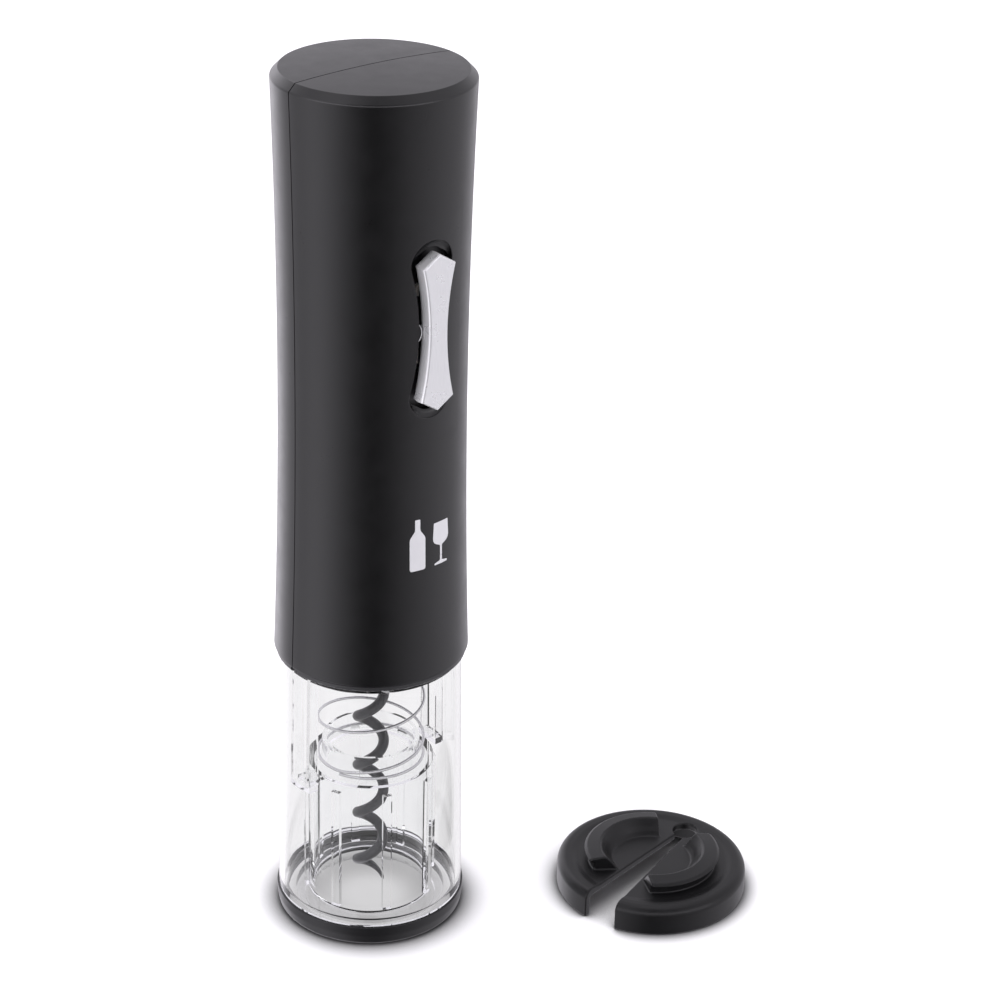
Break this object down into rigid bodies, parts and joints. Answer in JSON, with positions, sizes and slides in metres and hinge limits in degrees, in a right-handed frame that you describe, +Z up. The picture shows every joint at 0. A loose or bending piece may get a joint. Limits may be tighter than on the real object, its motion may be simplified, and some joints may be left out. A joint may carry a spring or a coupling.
{
  "type": "electric wine opener",
  "caption": "Battery wine opener with a waisted black housing, silver rocker button and clear corkscrew tube, beside its round foil cutter.",
  "frame": {"origin": "on the floor at the opener's axis, in the plane of the base's underside", "axes": "+Z up along the opener's axis; the rocker button faces -Y; the foil cutter lies to the right and in front, at +X -Y"},
  "size_m": [0.1194, 0.0962, 0.2408],
  "materials": {
    "housing_plastic": "soft satin",
    "collar_plastic": "satin",
    "clear_plastic": "clear polished plastic",
    "guide_plastic": "clear polished plastic",
    "base_plastic": "satin",
    "spring_steel": "drawn wire",
    "worm_coating": "non-stick coating",
    "dark_metal": "blackened",
    "bright_steel": "ground",
    "bronze": "sintered",
    "brass_parts": "bright",
    "inner_plastic": "moulded",
    "sintered_steel": "sintered",
    "armature_steel": "laminated core with windings",
    "zinc_steel": "zinc plated",
    "ferrite": "dull",
    "white_nylon": "moulded",
    "red_lead": "insulation",
    "black_lead": "insulation",
    "bezel_plastic": "satin",
    "button_silver": "silver satin paint",
    "board_green": "solder mask",
    "switch_black": "moulded",
    "cell_wrap": "printed sleeve",
    "screw_steel": "zinc plated",
    "cutter_plastic": "satin"
  },
  "bodies": {
    "opener": {"front_shell": "housing_plastic", "collar": "collar_plastic", "clear_tube": "clear_plastic", "base_ring": "base_plastic", "guide_spring": "spring_steel", "output_bush": "bronze", "drive_frame": "inner_plastic", "gearbox_cover": "inner_plastic", "gearbox_housing": "inner_plastic", "motor_plate": "inner_plastic", "motor_can": "zinc_steel", "motor_magnets": "ferrite", "motor_bushes": "bronze", "motor_end_cap": "white_nylon", "motor_terminals": "brass_parts", "motor_lead_red": "red_lead", "motor_lead_black": "black_lead", "rocker_bezel": "bezel_plastic", "rocker_pin": "bright_steel", "switch_board": "board_green", "extract_switch": "switch_black", "eject_switch": "switch_black", "battery_tray": "inner_plastic", "battery_a": "cell_wrap", "battery_b": "cell_wrap", "battery_c": "cell_wrap", "battery_d": "cell_wrap", "battery_springs": "spring_steel", "contact_plates": "brass_parts", "frame_screws": "screw_steel", "gearbox_screws": "screw_steel", "motor_screws": "screw_steel"},
    "rear_cover": {"rear_cover": "housing_plastic"},
    "rocker": {"rocker_button": "button_silver"},
    "extract_plunger": {"extract_plunger": "white_nylon"},
    "eject_plunger": {"eject_plunger": "white_nylon"},
    "neck_guide": {"neck_guide": "guide_plastic"},
    "rotor": {"motor_armature": "armature_steel", "sun_pinion": "brass_parts"},
    "input_carrier": {"input_carrier": "sintered_steel"},
    "output": {"worm": "worm_coating", "worm_chuck": "dark_metal", "chuck_pin": "bright_steel", "output_shaft": "bright_steel", "output_carrier": "sintered_steel"},
    "foil_cutter": {"foil_cutter": "cutter_plastic", "wheel_pins": "screw_steel"},
    "input_planet_a": {"input_planet_a": "white_nylon"},
    "output_planet_a": {"output_planet_a": "white_nylon"},
    "input_planet_b": {"input_planet_b": "white_nylon"},
    "output_planet_b": {"output_planet_b": "white_nylon"},
    "input_planet_c": {"input_planet_c": "white_nylon"},
    "output_planet_c": {"output_planet_c": "white_nylon"},
    "cutting_wheel_a": {"cutting_wheel_a": "bright_steel"},
    "cutting_wheel_b": {"cutting_wheel_b": "bright_steel"},
    "cutting_wheel_c": {"cutting_wheel_c": "bright_steel"},
    "cutting_wheel_d": {"cutting_wheel_d": "bright_steel"}
  },
  "joints": [
    {"name": "rear_cover_off", "type": "slide", "parent": "opener", "child": "rear_cover", "axis": [0, 1, 0], "range_m": [0, 0.06]},
    {"name": "rocker_tilt", "type": "hinge", "parent": "opener", "child": "rocker", "pos_m": [0, -0.0204, 0.1789], "axis": [1, 0, 0], "range_deg": [-4.5, 4.5], "stiffness_Nm_per_rad": 0.03},
    {"name": "extract_press", "type": "slide", "parent": "opener", "child": "extract_plunger", "axis": [0, 1, 0], "range_m": [0, 0.00025], "stiffness_N_per_m": 2500},
    {"name": "eject_press", "type": "slide", "parent": "opener", "child": "eject_plunger", "axis": [0, 1, 0], "range_m": [0, 0.00025], "stiffness_N_per_m": 2500},
    {"name": "guide_slide", "type": "slide", "parent": "opener", "child": "neck_guide", "axis": [0, 0, 1], "range_m": [0, 0.024], "stiffness_N_per_m": 90, "springref_m": -0.012, "deforming": ["guide_spring"]},
    {"name": "motor_spin", "type": "hinge", "parent": "opener", "child": "rotor", "pos_m": [0, 0, 0.14], "axis": [0, 0, 1], "continuous": true},
    {"name": "input_carrier_spin", "type": "hinge", "parent": "opener", "child": "input_carrier", "pos_m": [0, 0, 0.1115], "axis": [0, 0, 1], "continuous": true},
    {"name": "worm_spin", "type": "hinge", "parent": "opener", "child": "output", "pos_m": [0, 0, 0.09], "axis": [0, 0, 1], "continuous": true},
    {"name": "input_planet_a_spin", "type": "hinge", "parent": "input_carrier", "child": "input_planet_a", "pos_m": [0.009, 0, 0.116], "axis": [0, 0, 1], "continuous": true},
    {"name": "output_planet_a_spin", "type": "hinge", "parent": "output", "child": "output_planet_a", "pos_m": [0.009, 0, 0.1055], "axis": [0, 0, 1], "continuous": true},
    {"name": "input_planet_b_spin", "type": "hinge", "parent": "input_carrier", "child": "input_planet_b", "pos_m": [-0.0045, 0.00779, 0.116], "axis": [0, 0, 1], "continuous": true},
    {"name": "output_planet_b_spin", "type": "hinge", "parent": "output", "child": "output_planet_b", "pos_m": [-0.0045, 0.00779, 0.1055], "axis": [0, 0, 1], "continuous": true},
    {"name": "input_planet_c_spin", "type": "hinge", "parent": "input_carrier", "child": "input_planet_c", "pos_m": [-0.0045, -0.00779, 0.116], "axis": [0, 0, 1], "continuous": true},
    {"name": "output_planet_c_spin", "type": "hinge", "parent": "output", "child": "output_planet_c", "pos_m": [-0.0045, -0.00779, 0.1055], "axis": [0, 0, 1], "continuous": true},
    {"name": "cutter_lift", "type": "slide", "parent": "opener", "child": "foil_cutter", "axis": [0, 0, 1], "range_m": [0, 0.06]},
    {"name": "cutting_wheel_a_spin", "type": "hinge", "parent": "foil_cutter", "child": "cutting_wheel_a", "pos_m": [0.07186, -0.02674, 0.0034], "axis": [0, 0, 1], "continuous": true},
    {"name": "cutting_wheel_b_spin", "type": "hinge", "parent": "foil_cutter", "child": "cutting_wheel_b", "pos_m": [0.05387, -0.03166, 0.0034], "axis": [0, 0, 1], "continuous": true},
    {"name": "cutting_wheel_c_spin", "type": "hinge", "parent": "foil_cutter", "child": "cutting_wheel_c", "pos_m": [0.06174, -0.06046, 0.0034], "axis": [0, 0, 1], "continuous": true},
    {"name": "cutting_wheel_d_spin", "type": "hinge", "parent": "foil_cutter", "child": "cutting_wheel_d", "pos_m": [0.07973, -0.05554, 0.0034], "axis": [0, 0, 1], "continuous": true}
  ],
  "couplings": [
    {"joint": "input_carrier_spin", "follows": "motor_spin", "ratio": 0.2},
    {"joint": "worm_spin", "follows": "motor_spin", "ratio": 0.04},
    {"joint": "input_planet_a_spin", "follows": "motor_spin", "ratio": -0.53333},
    {"joint": "output_planet_a_spin", "follows": "motor_spin", "ratio": -0.10667},
    {"joint": "input_planet_b_spin", "follows": "motor_spin", "ratio": -0.53333},
    {"joint": "output_planet_b_spin", "follows": "motor_spin", "ratio": -0.10667},
    {"joint": "input_planet_c_spin", "follows": "motor_spin", "ratio": -0.53333},
    {"joint": "output_planet_c_spin", "follows": "motor_spin", "ratio": -0.10667}
  ]
}
